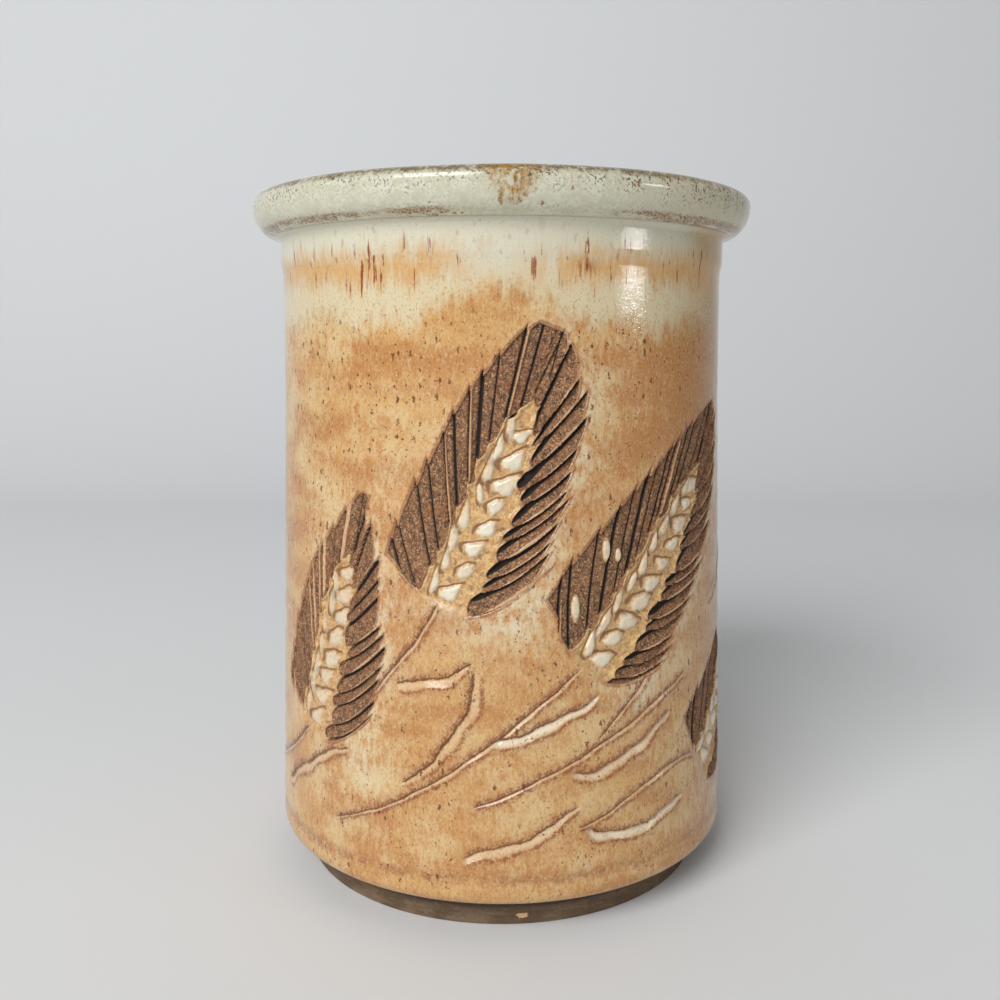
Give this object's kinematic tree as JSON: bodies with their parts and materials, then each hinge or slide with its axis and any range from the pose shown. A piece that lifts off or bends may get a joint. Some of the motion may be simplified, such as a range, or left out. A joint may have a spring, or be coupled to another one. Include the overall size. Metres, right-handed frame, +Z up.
{
  "type": "utensil holder",
  "caption": "Thrown stoneware crock with a rolled rim, a bare clay foot ring, ochre and cream glaze and carved wheat ears, open at the top to hold kitchen utensils.",
  "frame": {"origin": "centre of the foot ring, on the plane the crock stands on", "axes": "+Z up along the turning axis towards the open mouth, -Y towards the front with the tallest-placed wheat ear, +X to the right seen from the front"},
  "size_m": [0.1246, 0.1246, 0.165],
  "materials": {
    "bare_clay": "matte",
    "ochre_glaze": "gloss",
    "cream_rim_glaze": "gloss",
    "cream_liner_glaze": "gloss"
  },
  "bodies": {
    "root": {"clay_body": "bare_clay", "ochre_wall_glaze": "ochre_glaze", "cream_rim_glaze": "cream_rim_glaze", "cream_liner_glaze": "cream_liner_glaze"}
  },
  "joints": []
}
